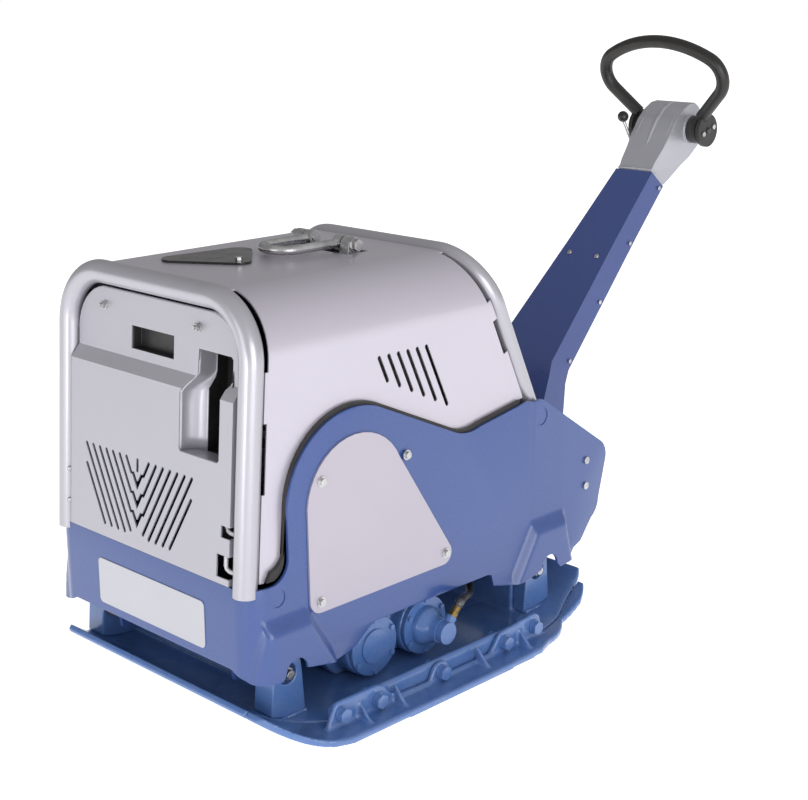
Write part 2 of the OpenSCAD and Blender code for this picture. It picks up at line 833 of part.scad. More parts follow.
crank_y = -40;
crank_z = 330;
module engine_block() {
  color(black) difference() {
    union() {
      slab([-130, -150, deck_z + 6.1], [120, 80, 420]);
      slab([-150, -170, deck_z + 6.1], [140, 100, 232]);
    }
    rod_x(-131, 121, crank_y, crank_z, 30.05);
  }
}
module cylinder_head() {
  color(steel) union() {
    slab([-80, -110, 420.1], [80, 50, 560]);
    for (i = [0 : 6]) slab([-100, -130, 440 + 16 * i], [100, 70, 446 + 16 * i]);
    slab([-70, -100, 560], [70, 40, 610]);
  }
}
module muffler() {
  color(black) {
    translate([-110, 160, 520]) rotate([0, 90, 0]) cylinder(r = 55, h = 230);
    slab([-20, 70.2, 505], [20, 120, 535]);
  }
}
module air_filter() {
  color(black) {
    translate([170, -60, 480]) cylinder(r = 62, h = 120);
    slab([100.2, -90, 500], [130, -30, 560]);
  }
}
module fuel_tank() {
  color(black) difference() {
    union() {
      slab([-230, -330, 560], [190, -150, 730]);
      translate([filler_at[0], filler_at[1], 730]) cylinder(r = 26, h = 50);
    }
    slab([-222, -322, 568], [182, -158, 722]);
    translate([filler_at[0], filler_at[1], 700]) cylinder(r = 21, h = 90);
  }
}
module battery() {
  color(black) {
    slab([20, -360, deck_z + 6.1], [200, -230, 390]);
    for (x = [45, 175]) translate([x, -295, 390]) cylinder(r = 9, h = 16);
  }
}
module radiator_fan() {
  color(black) difference() {
    rod_x(150, 200, crank_y, crank_z, 105);
    rod_x(149, 194, crank_y, crank_z, 99);
    rod_x(193, 201, crank_y, crank_z, 34);
  }
}

module crankshaft() {
  color(steel) {
    rod_x(-170, 170, crank_y, crank_z, 30);
    rod_x(pulley_x - 16, -170, crank_y, crank_z, 14);
    // clutch hub inside the drum
    rod_x(pulley_x + 17, pulley_x + 38, crank_y, crank_z, 61);
    // flywheel
    rod_x(158, 186, crank_y, crank_z, 92);
  }
}
module clutch_drum() {
  color(steel) translate([pulley_x, crank_y, crank_z]) rotate([0, 90, 0]) rotate_extrude($fn = 64) polygon([
    [14 + fit, -12], [50, -12], [58, -9], [58, -7], [50, -3], [50, 3], [58, 7], [58, 9], [70, 12], [70, 40],
    [64, 40], [64, 16], [14 + fit, 14]]);
}

// V-belt from the clutch drum down to the exciter pulley
drum_r = 50;
pulley_r = 34;
belt_t = 7;
module belt_loop(extra) {
  hull() {
    translate([crank_y, crank_z]) circle(r = drum_r + extra, $fn = 40);
    translate([front_shaft_y, exciter_z]) circle(r = pulley_r + extra, $fn = 40);
  }
}
module drive_belt() {
  color(black) along_x(pulley_x - 2.8, pulley_x + 2.8) difference() {
    belt_loop(0.6 + belt_t);
    belt_loop(0.6);
  }
}

// Pressure hose from the phase cylinder up into the frame
hose_route = [
  [331, 50.5, 122.5], [331, 58, 130], [326, 78, 133], [312, 102, 126], [298, 122, 122], [282, 140, 124],
  [268, 152, 138], [260, 160, 160], [256, 165, 190], [255, 167, 230], [254, 165, 268]];
hose_sides = 8;
function unit(v) = v / norm(v);
function hose_dir(i) = unit(hose_route[min(i + 1, len(hose_route) - 1)] - hose_route[max(i - 1, 0)]);
function hose_ring(i, r) = let (d = hose_dir(i), u = unit(cross(d, [1, 0.3, 0.2])), v = cross(d, u))
  [for (k = [0 : hose_sides - 1]) let (a = 360 * k / hose_sides)
    hose_route[i] + r * (cos(a) * u + sin(a) * v)];
module hydraulic_hose() {
  n = len(hose_route);
  points = [for (i = [0 : n - 1]) each hose_ring(i, 8)];
  sides = [for (i = [0 : n - 2], k = [0 : hose_sides - 1]) let (a = i * hose_sides, j = (k + 1) % hose_sides)
    [a + k, a + j, a + hose_sides + j, a + hose_sides + k]];
  ends = [
    [for (k = [hose_sides - 1 : -1 : 0]) k],
    [for (k = [0 : hose_sides - 1]) (n - 1) * hose_sides + k]];
  color(black) polyhedron(points, concat(ends, sides));
}

// ---------- lifting gear and flap on the hood ----------

bail_y = 20;
bail_z = 812;
module lifting_column() {
  color(steel) difference() {
    union() {
      slab([-40, 12, 611], [40, 28, 760]);
      slab([-84, 10, 760], [84, 30, 776]);
      both_sides() along_x(56, 80)
        polygon(concat([[-2, 776], [42, 776]], arc([bail_y, bail_z], 15, 0, 180, 8)));
    }
    both_sides() rod_x(55, 81, bail_y, bail_z, 7.05);
  }
}
module bail_bolts() {
  color(steel) both_sides() {
    rod_x(80.2, 83, bail_y, bail_z, 14);
    hex_x(83, 93, bail_y, bail_z, 22);
    rod_x(30, 80.2, bail_y, bail_z, 7);
  }
}
bail_r = 9;
module lifting_bail() {
  half = 43;
  reach = 150;
  bend = 40;
  color(steel) translate([0, bail_y, bail_z]) {
    both_sides() {
      difference() {
        translate([half - 11, 0, 0]) rotate([0, 90, 0]) cylinder(r = 15, h = 22);
        translate([half - 12, 0, 0]) rotate([0, 90, 0]) cylinder(r = 7.06, h = 24);
      }
      translate([half, -reach + bend, 0]) rotate([90, 0, 0]) mirror([0, 0, 1])
        cylinder(r = bail_r, h = reach - bend - 12);
      translate([half - bend, -reach + bend, 0]) rotate([0, 0, -90])
        rotate_extrude(angle = 90) translate([bend, 0]) circle(r = bail_r);
    }
    translate([-half + bend, -reach, 0]) rotate([0, 90, 0])
      cylinder(r = bail_r, h = 2 * (half - bend) + 0.01);
  }
}

flap_pivot = [5, -208];
module filler_flap() {
  color(black) translate([0, 0, hood_top + 0.5]) difference() {
    linear_extrude(4) polygon(concat(
      arc(flap_pivot, 24, -60, 50, 8), arc([-85, -135], 28, 50, 165, 8), arc([-98, -272], 30, 175, 290, 8)));
    translate([flap_pivot[0], flap_pivot[1], -1]) cylinder(r = 5.05, h = 8);
  }
}
module flap_bolt() {
  color(steel) translate([flap_pivot[0], flap_pivot[1], hood_top + 0.1]) {
    cylinder(r = 5, h = 5);
    translate([0, 0, 5]) cylinder(d = 15, h = 6, $fn = 6);
  }
}

// ---------- tow bar ----------

pin_y = 528;
pin_z = 306;
module bar_hinge_pin() {
  color(steel) rod_x(-130, 130, pin_y, pin_z, 14 - fit);
}

// Side view of the tow bar: a steep foot, a kink and a long sloping arm
foot_front = [598, 386];
kink_front = [629, 470];
kink_rear = [688, 440];
arm_front = [1034, 857];
arm_rear = [1078, 819];
module bar_side() {
  polygon(concat([foot_front, kink_front, arm_front, arm_rear, kink_rear, [676, 410]],
    arc([638, 330], 29, 0, -80, 5), arc([pin_y, pin_z], 30, 280, 110, 10)));
}

// Front view of the tow bar along its own slope: it narrows towards the head
module bar_width() {
  polygon([[-98, 200], [98, 200], [90, 440], [64, 710], [50, 900], [-50, 900], [-64, 710], [-90, 440]]);
}
module tow_bar() {
  color(blue) difference() {
    intersection() {
      along_x(-110, 110) bar_side();
      along_y(400, 1200) bar_width();
    }
    // hollow of the box section
    intersection() {
      along_x(-110, 110) polygon([[612, 392], [640, 464], [1030, 840], [1062, 812], [680, 446], [658, 340]]);
      along_y(400, 1200) polygon([
        [-88, 340], [88, 340], [84, 440], [58, 710], [44, 900], [-44, 900], [-58, 710], [-84, 440]]);
    }
    rod_x(-120, 120, pin_y, pin_z, 14);
    for (p = bar_screw_at) rod_x(-110, 110, p[0], p[1], 3.1);
  }
}

// Screws along the rear edge of both side faces
bar_screw_at = [for (t = [0.03, 0.34, 0.66, 0.97]) arm_rear + t * (kink_rear - arm_rear) + [-9, 9]];
function bar_half(z) = z > 710 ? 64 - (z - 710) * 14 / 190 : 90 - (z - 440) * 26 / 270;
module bar_screws() {
  color(steel) for (p = bar_screw_at) both_sides() {
    half = bar_half(p[1]);
    rod_x(half - 5, half + 2, p[0], p[1], 3);
    rod_x(half + 0.6, half + 4, p[0], p[1], 5);
  }
}

head_half = 56;
head_foot = 48;
head_outline = [[1036, 857], [1050, 880], [1074, 908], [1098, 942], [1120, 972], [1145, 994], [1172, 1008],
  [1196, 1011], [1215, 1000], [1227, 978], [1231, 948], [1226, 910], [1193, 881], [1140, 850], [1118, 836],
  [1094, 822], [1080, 818.5]];
module head_width() {
  polygon([[-head_foot, 810], [head_foot, 810], [head_foot, 862], [head_half, 935], [head_half, 1030],
    [-head_half, 1030], [-head_half, 935], [-head_foot, 862]]);
}
module bar_head() {
  color(silver) difference() {
    union() {
      intersection() {
        along_x(-head_half, head_half) polygon(head_outline);
        along_y(1000, 1250) head_width();
      }
      rod_x(-60, 60, hub_y, hub_z, 34);
    }
    rod_x(-61, 61, hub_y, hub_z, 16.05);
    slab([-60, 1096, 850], [-lever_seat, 1136, 930]);
  }
}
lever_seat = 46;

// ---------- travel grip ----------

disc_in = 94;
disc_out = 104;
disc_r = 39.5;
grip_r = 15.5;
grip_lean = 21;
leg_angle = 46;
corner_bend = 57;
corner_c = [112, 137];
top_angle = 150;
leg_top = corner_c + corner_bend * [sin(leg_angle), -cos(leg_angle)];
leg_length = 87;
seat = 0.2;

module grip_plane() {
  translate([0, hub_y, hub_z]) rotate([grip_lean, 0, 0]) children();
}

// Straight leg that rises outward from a disc
module grip_leg(r) {
  foot = leg_top - leg_length * [cos(leg_angle), sin(leg_angle)];
  translate([foot[0], 0, foot[1]]) rotate([0, 90 - leg_angle, 0]) cylinder(r = r, h = leg_length + 3);
}

module grip_hub() {
  color(black) {
    rod_x(-disc_in, disc_in, hub_y, hub_z, 16);
    both_sides() {
      translate([60.3, hub_y, hub_z]) rotate([0, 90, 0]) rotate_extrude() polygon([
        [0, 0], [33, 0], [33, 12], [31, 14], [33, 16], [33, 25], [30, 27], [30, 34], [0, 34]]);
      difference() {
        rod_x(disc_in, disc_out, hub_y, hub_z, disc_r);
        grip_plane() grip_leg(grip_r + 0.1);
        for (a = [20, 200]) rod_x(disc_in, disc_out + 1, hub_y + 22 * cos(a), hub_z + 22 * sin(a), 4.1);
      }
    }
  }
}
module grip_screws() {
  color(steel) both_sides() for (s = [0, 180]) {
    y = hub_y + 22 * cos(s + 20);
    z = hub_z + 22 * sin(s + 20);
    rod_x(disc_in + 1, disc_out, y, z, 4);
    rod_x(disc_out, disc_out + 4, y, z, 6);
  }
}

// Part of a ring in the plane of the loop, from angle a0 to a1 about centre c
module ring_part(c, bend, tube, a0, a1) {
  translate([c[0], 0, c[1]]) rotate([90, 0, 0]) rotate([0, 0, a0])
    rotate_extrude(angle = a1 - a0, $fn = 64) translate([bend, 0]) circle(r = tube, $fn = 20);
}

// Stirrup-shaped loop: two legs that flare outward, round corners and a flat arch
module grip_loop() {
  corner_end = corner_c + corner_bend * [sin(top_angle), -cos(top_angle)];
  arch_bend = corner_end[0] / sin(180 - top_angle);
  arch_c = [0, corner_end[1] - arch_bend * cos(180 - top_angle)];
  color(black) grip_plane() {
    both_sides() {
      grip_leg(grip_r - seat);
      ring_part(corner_c, corner_bend, grip_r, leg_angle - 90, top_angle - 90);
    }
    ring_part(arch_c, arch_bend, grip_r - seat, top_angle - 90.4, 270.4 - top_angle);
  }
}

throttle_y = 1116;
throttle_z = 892;
module throttle_lever() {
  color(steel) translate([0, throttle_y, throttle_z]) {
    rod_x(-60, -lever_seat - 0.2, 0, 0, 14);
    translate([-58, 0, 0]) rotate([20, -14, 0]) cylinder(r = 4, h = 84);
  }
  color(black) translate([-78, throttle_y - 28, throttle_z + 84]) sphere(r = 13.5);
}

base_plate();
buffer_lugs();
extension_plate();
extension_bolts();
exciter_housing();
exciter_covers();
cover_bolts();
exciter_bearings();
phase_cylinder();
hose_fitting();
front_exciter_shaft();
front_exciter_gear();
exciter_pulley();
rear_exciter_shaft();
rear_exciter_gear();
phase_piston();
rubber_buffers();
buffer_bolts();
hydraulic_hose();
drive_belt();
frame_side_right();
frame_side_left();
frame_front();
frame_rear();
engine_deck();
buffer_brackets();
front_tube();
rear_tube();
hood();
hood_seals();
rear_panel();
front_panel();
control_pocket();
meter_window();
panel_nuts();
side_covers();
side_cover_screws();
name_plate();
engine_block();
cylinder_head();
muffler();
air_filter();
fuel_tank();
battery();
radiator_fan();
crankshaft();
clutch_drum();
lifting_column();
bail_bolts();
lifting_bail();
filler_flap();
flap_bolt();
bar_hinge_pin();
tow_bar();
bar_screws();
bar_head();
grip_loop();
grip_hub();
grip_screws();
throttle_lever();
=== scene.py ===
import json
import math

import bmesh
import bpy
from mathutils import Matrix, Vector


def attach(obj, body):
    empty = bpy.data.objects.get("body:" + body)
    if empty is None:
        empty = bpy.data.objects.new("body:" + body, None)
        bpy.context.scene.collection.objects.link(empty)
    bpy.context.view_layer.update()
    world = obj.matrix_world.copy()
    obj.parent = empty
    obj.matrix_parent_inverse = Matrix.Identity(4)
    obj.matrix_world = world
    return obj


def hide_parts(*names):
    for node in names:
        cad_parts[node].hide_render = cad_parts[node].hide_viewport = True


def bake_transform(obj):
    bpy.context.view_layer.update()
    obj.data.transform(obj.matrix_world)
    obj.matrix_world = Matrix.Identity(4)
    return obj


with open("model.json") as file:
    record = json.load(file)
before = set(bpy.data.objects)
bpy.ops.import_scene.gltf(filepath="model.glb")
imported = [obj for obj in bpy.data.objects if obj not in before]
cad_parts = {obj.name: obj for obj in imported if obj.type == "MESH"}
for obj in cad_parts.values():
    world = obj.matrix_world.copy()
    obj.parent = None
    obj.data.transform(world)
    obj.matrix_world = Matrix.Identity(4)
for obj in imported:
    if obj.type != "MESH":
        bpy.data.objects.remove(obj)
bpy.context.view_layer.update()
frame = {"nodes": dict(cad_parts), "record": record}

NODES = frame["nodes"]
BODY_OF = {n: b for b, names in frame["record"]["behaviour"]["bodies"].items() for n in names}
MM = 0.001


# ---------- colours and materials ----------

def tone(r, g, b):
    """Linear colour from a screen colour given in 0-255."""
    def line(v):
        v /= 255.0
        return v / 12.92 if v <= 0.04045 else ((v + 0.055) / 1.055) ** 2.4
    return (line(r), line(g), line(b), 1.0)


class Nodes:
    """Short ways to place shader nodes in one material."""

    def __init__(self, name):
        self.mat = bpy.data.materials.new(name)
        self.mat.use_nodes = True
        self.tree = self.mat.node_tree
        self.shader = self.tree.nodes["Principled BSDF"]
        self.place = self.add("ShaderNodeTexCoord").outputs["Object"]

    def add(self, kind, **values):
        n = self.tree.nodes.new(kind)
        for key, value in values.items():
            if hasattr(n, key):
                setattr(n, key, value)
            else:
                n.inputs[key.replace("_", " ")].default_value = value
        return n

    def link(self, a, b):
        self.tree.links.new(a, b)

    def noise(self, scale, detail=3.0, stretch=None, rough=0.55):
        n = self.add("ShaderNodeTexNoise", Scale=scale, Detail=detail, Roughness=rough)
        if stretch:
            m = self.add("ShaderNodeMapping")
            m.inputs["Scale"].default_value = stretch
            self.link(self.place, m.inputs["Vector"])
            self.link(m.outputs["Vector"], n.inputs["Vector"])
        else:
            self.link(self.place, n.inputs["Vector"])
        return n.outputs["Fac"]

    def spread(self, value, low, high, out_low, out_high):
        n = self.add("ShaderNodeMapRange")
        n.inputs["From Min"].default_value = low
        n.inputs["From Max"].default_value = high
        n.inputs["To Min"].default_value = out_low
        n.inputs["To Max"].default_value = out_high
        self.link(value, n.inputs["Value"])
        return n.outputs["Result"]

    def math(self, kind, a, b):
        n = self.add("ShaderNodeMath", operation=kind)
        for i, v in enumerate((a, b)):
            if isinstance(v, (int, float)):
                n.inputs[i].default_value = v
            else:
                self.link(v, n.inputs[i])
        return n.outputs[0]

    def mix(self, fac, a, b):
        n = self.add("ShaderNodeMix", data_type="RGBA")
        if isinstance(fac, (int, float)):
            n.inputs[0].default_value = fac
        else:
            self.link(fac, n.inputs[0])
        for i, v in ((6, a), (7, b)):
            if isinstance(v, tuple):
                n.inputs[i].default_value = v
            else:
                self.link(v, n.inputs[i])
        return n.outputs[2]

    def height(self):
        n = self.add("ShaderNodeSeparateXYZ")
        self.link(self.place, n.inputs[0])
        return n.outputs["Z"]

    def edges(self, low=0.53, high=0.62):
        g = self.add("ShaderNodeNewGeometry")
        return self.spread(g.outputs["Pointiness"], low, high, 0.0, 1.0)

    def bump(self, value, strength, distance, after=None):
        n = self.add("ShaderNodeBump", Strength=strength, Distance=distance)
        self.link(value, n.inputs["Height"])
        if after is not None:
            self.link(after, n.inputs["Normal"])
        return n.outputs["Normal"]

    def set(self, **values):
        for key, value in values.items():
            s = self.shader.inputs[key.replace("_", " ")]
            if isinstance(value, (int, float, tuple)):
                s.default_value = value
            else:
                self.link(value, s)


def paint(name, light, dark, rough, metal=0.0, coat=0.3, grain=700.0, grain_bump=0.06, worn=0.25, bare=None,
          soiled=0.0):
    """Sprayed paint: slow changes of tone, fine orange peel, rubbed edges and a little dust low down."""
    n = Nodes(name)
    slow = n.noise(3.5, 2.0)
    colour = n.mix(n.spread(slow, 0.2, 0.8, 0.0, 1.0), light, dark)
    fine = n.noise(grain, 2.0)
    colour = n.mix(n.spread(fine, 0.3, 0.7, 0.0, 0.03), colour, (1.0, 1.0, 1.0, 1.0))
    if bare:
        rub = n.math("MULTIPLY", n.edges(), n.spread(n.noise(38.0, 5.0), 0.45, 0.62, 0.0, worn))
        colour = n.mix(rub, colour, bare)
    if soiled:
        low = n.spread(n.height(), 0.0, 0.22, soiled, 0.0)
        dust = n.math("MULTIPLY", low, n.spread(n.noise(26.0, 6.0), 0.38, 0.66, 0.0, 1.0))
        colour = n.mix(dust, colour, tone(150, 156, 172))
    n.set(Base_Color=colour)
    n.set(Roughness=n.spread(n.noise(5.0, 1.0), 0.1, 0.9, rough - 0.02, rough + 0.04))
    n.shader.inputs["Metallic"].default_value = metal
    n.shader.inputs["Coat Weight"].default_value = coat
    n.shader.inputs["Coat Roughness"].default_value = 0.12
    peel = n.bump(n.noise(150.0, 2.0), grain_bump, 0.0012)
    n.set(Normal=n.bump(fine, grain_bump * 0.6, 0.0003, peel))
    return n.mat


def metal(name, light, dark, rough, brushed=None, grain=180.0, bump=0.10, weight=1.0):
    """Bare or galvanised metal with cloudy tone, spangle and fine scratches."""
    n = Nodes(name)
    cloud = n.spread(n.noise(22.0, 5.0), 0.35, 0.65, 0.0, 1.0)
    colour = n.mix(cloud, light, dark)
    scratch = n.noise(grain, 4.0, brushed or (1.0, 1.0, 1.0))
    colour = n.mix(n.spread(scratch, 0.55, 0.75, 0.0, 0.25), colour, dark)
    n.set(Base_Color=colour)
    n.set(Roughness=n.spread(scratch, 0.3, 0.7, rough - 0.08, rough + 0.10))
    n.shader.inputs["Metallic"].default_value = weight
    n.set(Normal=n.bump(scratch, bump, 0.0005))
    return n.mat


def rubber(name, light, dark, rough=0.62, grain=420.0, sheen=0.15, bump=0.25):
    """Moulded rubber or plastic: pebbled skin, dull lighter patches where it is handled."""
    n = Nodes(name)
    colour = n.mix(n.spread(n.noise(14.0, 5.0), 0.36, 0.68, 0.0, 1.0), dark, light)
    pebble = n.noise(grain, 2.5)
    colour = n.mix(n.spread(pebble, 0.45, 0.75, 0.0, 0.18), colour, light)
    n.set(Base_Color=colour)
    n.set(Roughness=n.spread(n.noise(30.0, 4.0), 0.3, 0.7, rough - 0.08, rough + 0.08))
    n.shader.inputs["Sheen Weight"].default_value = sheen
    n.set(Normal=n.bump(pebble, bump, 0.0004))
    return n.mat


BLUE = paint("blue_enamel", tone(43, 73, 138), tone(41, 70, 134), 0.29, coat=0.35, grain_bump=0.04)
CAST_BLUE = paint("blue_cast", tone(70, 110, 172), tone(60, 98, 158), 0.27, coat=0.5, grain=320.0,
                  grain_bump=0.22, worn=0.4, bare=tone(120, 145, 190), soiled=0.12)
BAR_BLUE = paint("blue_tow_bar", tone(39, 64, 131), tone(38, 62, 128), 0.38, coat=0.25, grain_bump=0.04)
SILVER = paint("silver_paint", tone(194, 189, 201), tone(191, 186, 198), 0.33, metal=0.5, coat=0.15,
               grain=1500.0, grain_bump=0.03)
PANEL_SILVER = paint("panel_silver", tone(174, 173, 181), tone(171, 170, 179), 0.36, metal=0.45, coat=0.15,
                     grain=1500.0, grain_bump=0.03)
COVER_SILVER = paint("cover_silver", tone(178, 172, 184), tone(174, 168, 180), 0.36, metal=0.4, coat=0.15,
                     grain=1500.0, grain_bump=0.03)
TUBE_SILVER = paint("tube_silver", tone(176, 174, 182), tone(173, 171, 179), 0.30, metal=0.55, coat=0.2,
                    grain=1200.0, grain_bump=0.03)
HEAD_SILVER = paint("head_silver", tone(176, 176, 184), tone(168, 168, 177), 0.40, metal=0.5, coat=0.1,
                    grain=700.0, grain_bump=0.2, worn=0.4, bare=tone(215, 215, 220))
ZINC = metal("zinc_steel", tone(205, 205, 205), tone(160, 160, 163), 0.30)
DARK_STEEL = metal("dark_steel", tone(110, 110, 114), tone(70, 70, 74), 0.38)
GROUND_STEEL = metal("ground_steel", tone(185, 186, 190), tone(140, 141, 146), 0.22, brushed=(40.0, 1.0, 1.0))
CAST_IRON = metal("cast_iron", tone(96, 97, 100), tone(60, 61, 64), 0.55, grain=260.0, bump=0.4, weight=0.7)
CAST_ALLOY = metal("cast_alloy", tone(170, 171, 174), tone(130, 131, 136), 0.45, grain=320.0, bump=0.35,
                   weight=0.8)
BRASS = metal("brass", tone(136, 116, 70), tone(92, 76, 44), 0.34)
RUBBER = rubber("black_rubber", tone(46, 44, 44), tone(30, 29, 30))
GRIP_RUBBER = rubber("grip_foam", tone(34, 31, 29), tone(24, 22, 21), 0.40, 520.0, 0.0)
HOSE_RUBBER = rubber("hose_rubber", tone(30, 30, 32), tone(18, 18, 20), 0.42, 260.0, 0.0)
PLASTIC = rubber("black_plastic", tone(38, 38, 40), tone(24, 24, 26), 0.40, 600.0, 0.0, 0.12)
GLOSS_BLACK = rubber("black_enamel", tone(40, 38, 38), tone(28, 26, 26), 0.22, 260.0, 0.0, 0.06)
PLATE = paint("plate_grey", tone(186, 186, 194), tone(176, 177, 185), 0.34, coat=0.3, grain=900.0,
              grain_bump=0.02)
WHITE = paint("white_paint", tone(232, 232, 236), tone(222, 223, 228), 0.32, coat=0.3, grain=900.0,
              grain_bump=0.02)


# ---------- mesh helpers ----------

def new_object(name, mesh):
    o = bpy.data.objects.new(name, mesh)
    bpy.context.scene.collection.objects.link(o)
    return o


def freeze(o):
    """Applies an object's modifiers."""
    graph = bpy.context.evaluated_depsgraph_get()
    mesh = bpy.data.meshes.new_from_object(o.evaluated_get(graph))
    o.modifiers.clear()
    o.data = mesh


def smooth(o, degrees=35.0):
    o.data.shade_smooth()
    o.data.set_sharp_from_angle(angle=math.radians(degrees))


def rounded(o, width, segments):
    """Breaks an object's sharp edges with a small round and evens its shading."""
    m = o.modifiers.new("edges", "BEVEL")
    m.width = width
    m.segments = segments
    m.limit_method = "ANGLE"
    m.angle_limit = math.radians(32.0)
    m.use_clamp_overlap = True
    m.miter_outer = "MITER_ARC"
    freeze(o)
    o.data.shade_smooth()
    o.data.set_sharp_from_angle(angle=math.radians(40.0))
    w = o.modifiers.new("normals", "WEIGHTED_NORMAL")
    w.keep_sharp = True
    w.weight = 80
    freeze(o)


def refine(node, mat, width=0.0012, segments=2):
    """A finished copy of a CAD node: its edges are broken as on the real part."""
    bm = bmesh.new()
    bm.from_mesh(NODES[node].data)
    bmesh.ops.remove_doubles(bm, verts=bm.verts, dist=2e-5)
    bmesh.ops.dissolve_limit(bm, angle_limit=math.radians(0.6), verts=bm.verts, edges=bm.edges)
    mesh = bpy.data.meshes.new(node + "_finish")
    bm.to_mesh(mesh)
    bm.free()
    o = new_object(node + "_finish", mesh)
    mesh.materials.clear()
    mesh.materials.append(mat)
    rounded(o, width, segments)
    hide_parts(node)
    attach(o, BODY_OF[node])
    return o


def round_bar(path, radius, sides=24):
    """Mesh of a round bar whose centre line runs through the given points, in millimetres."""
    bm = bmesh.new()
    rings = []
    side = None
    for i, p in enumerate(path):
        a = Vector(path[max(i - 1, 0)])
        b = Vector(path[min(i + 1, len(path) - 1)])
        d = (b - a).normalized()
        if side is None:
            side = d.orthogonal().normalized()
        side = (side - d * side.dot(d)).normalized()
        other = d.cross(side)
        r = radius[i] if isinstance(radius, (list, tuple)) else radius
        ring = []
        for k in range(sides):
            t = 2 * math.pi * k / sides
            ring.append(bm.verts.new((Vector(p) + (side * math.cos(t) + other * math.sin(t)) * r) * MM))
        rings.append(ring)
    for u, v in zip(rings, rings[1:]):
        for k in range(sides):
            bm.faces.new([u[k], u[(k + 1) % sides], v[(k + 1) % sides], v[k]])
    bm.faces.new(list(reversed(rings[0])))
    bm.faces.new(rings[-1])
    bmesh.ops.recalc_face_normals(bm, faces=bm.faces)
    mesh = bpy.data.meshes.new("bar")
    bm.to_mesh(mesh)
    bm.free()
    return mesh


def carve(o, path, radius):
    """Cuts a round bar out of an object."""
    tool = new_object("cutter", round_bar(path, radius, 40))
    m = o.modifiers.new("cut", "BOOLEAN")
    m.object = tool
    m.operation = "DIFFERENCE"
    m.solver = "EXACT"
    freeze(o)
    bpy.data.objects.remove(tool)


def piece(name, mesh, mat, body, degrees=40.0):
    mesh.name = name
    mesh.materials.clear()
    mesh.materials.append(mat)
    o = new_object(name, mesh)
    smooth(o, degrees)
    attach(o, body)
    return o


def weld(name, path, mat, body, radius=3.2, step=3.0):
    """A weld bead: overlapping ripples along a seam."""
    pts = []
    radii = []
    for a, b in zip(path, path[1:]):
        a, b = Vector(a), Vector(b)
        n = max(1, int((b - a).length / step * 2))
        for i in range(n):
            pts.append(a.lerp(b, i / n))
            k = len(pts)
            radii.append(radius * (1.0 + 0.16 * (1 if k % 2 else -1) + 0.08 * math.sin(k * 1.7)))
    pts.append(Vector(path[-1]))
    radii.append(radius * 0.6)
    return piece(name, round_bar(pts, radii, 10), mat, body, 75.0)


def dress(node, mat):
    """Gives a CAD node that keeps its own mesh a finished material."""
    o = NODES[node]
    for s in o.material_slots:
        s.material = mat
    if not o.material_slots:
        o.data.materials.append(mat)


def casting(node, voxel, passes):
    """A cast part: every edge and inside corner flows over as it does out of a sand mould."""
    mesh = NODES[node].data.copy()
    mesh.materials.clear()
    mesh.materials.append(CAST_BLUE)
    o = new_object(node + "_casting", mesh)
    m = o.modifiers.new("skin", "REMESH")
    m.mode = "VOXEL"
    m.voxel_size = voxel
    m = o.modifiers.new("flow", "SMOOTH")
    m.factor = 0.5
    m.iterations = passes
    m = o.modifiers.new("thin", "DECIMATE")
    m.ratio = 0.35
    freeze(o)
    o.data.shade_smooth()
    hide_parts(node)
    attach(o, BODY_OF[node])
    return o


# node, its finish, the width its edges are broken by, and the steps in that round
FINISH = [
    ("buffer_lugs", CAST_BLUE, 0.005, 4), ("extension_bolts", CAST_BLUE, 0.001, 2),
    ("exciter_covers", CAST_BLUE, 0.0025, 3), ("cover_bolts", CAST_BLUE, 0.0007, 2),
    ("exciter_bearings", GROUND_STEEL, 0.001, 2), ("phase_cylinder", CAST_BLUE, 0.002, 3),
    ("hose_fitting", BRASS, 0.001, 2), ("front_exciter_shaft", GROUND_STEEL, 0.001, 2),
    ("front_exciter_gear", GROUND_STEEL, 0.0004, 1), ("exciter_pulley", DARK_STEEL, 0.0008, 2),
    ("rear_exciter_shaft", GROUND_STEEL, 0.001, 2), ("rear_exciter_gear", GROUND_STEEL, 0.0004, 1),
    ("phase_piston", GROUND_STEEL, 0.001, 2), ("buffer_bolts", ZINC, 0.0008, 2),
    ("frame_rear", BLUE, 0.0015, 2), ("engine_deck", BLUE, 0.0015, 2),
    ("buffer_brackets", BLUE, 0.0015, 2), ("hood", SILVER, 0.0010, 2),
    ("rear_panel", SILVER, 0.001, 2), ("front_panel", PANEL_SILVER, 0.0010, 2),
    ("meter_window", PLASTIC, 0.001, 2), ("panel_nuts", ZINC, 0.0008, 2),
    ("side_covers", COVER_SILVER, 0.0012, 2), ("side_cover_screws", ZINC, 0.0007, 2),
    ("name_plate", PLATE, 0.0006, 2), ("engine_block", CAST_IRON, 0.003, 2),
    ("cylinder_head", CAST_ALLOY, 0.0015, 2), ("muffler", DARK_STEEL, 0.004, 3),
    ("air_filter", PLASTIC, 0.004, 3), ("fuel_tank", PLASTIC, 0.012, 3),
    ("battery", PLASTIC, 0.003, 3), ("radiator_fan", PLASTIC, 0.0015, 2),
    ("crankshaft", GROUND_STEEL, 0.001, 2), ("clutch_drum", DARK_STEEL, 0.0008, 2),
    ("lifting_column", ZINC, 0.0015, 2), ("bail_bolts", ZINC, 0.0009, 2),
    ("filler_flap", GLOSS_BLACK, 0.0012, 2), ("flap_bolt", ZINC, 0.0008, 2),
    ("bar_hinge_pin", ZINC, 0.0015, 2), ("tow_bar", BAR_BLUE, 0.0035, 3),
    ("bar_screws", ZINC, 0.0006, 2), ("bar_head", HEAD_SILVER, 0.008, 5),
    # hood_seals in black rubber is partly a real seal under the hood's edge and partly painted shade: a dark
    # strip standing for the shaded gap below the hood
    ("hood_seals", RUBBER, 0.0008, 2), ("grip_hub", RUBBER, 0.0012, 2),
    ("grip_screws", ZINC, 0.0006, 2),
]
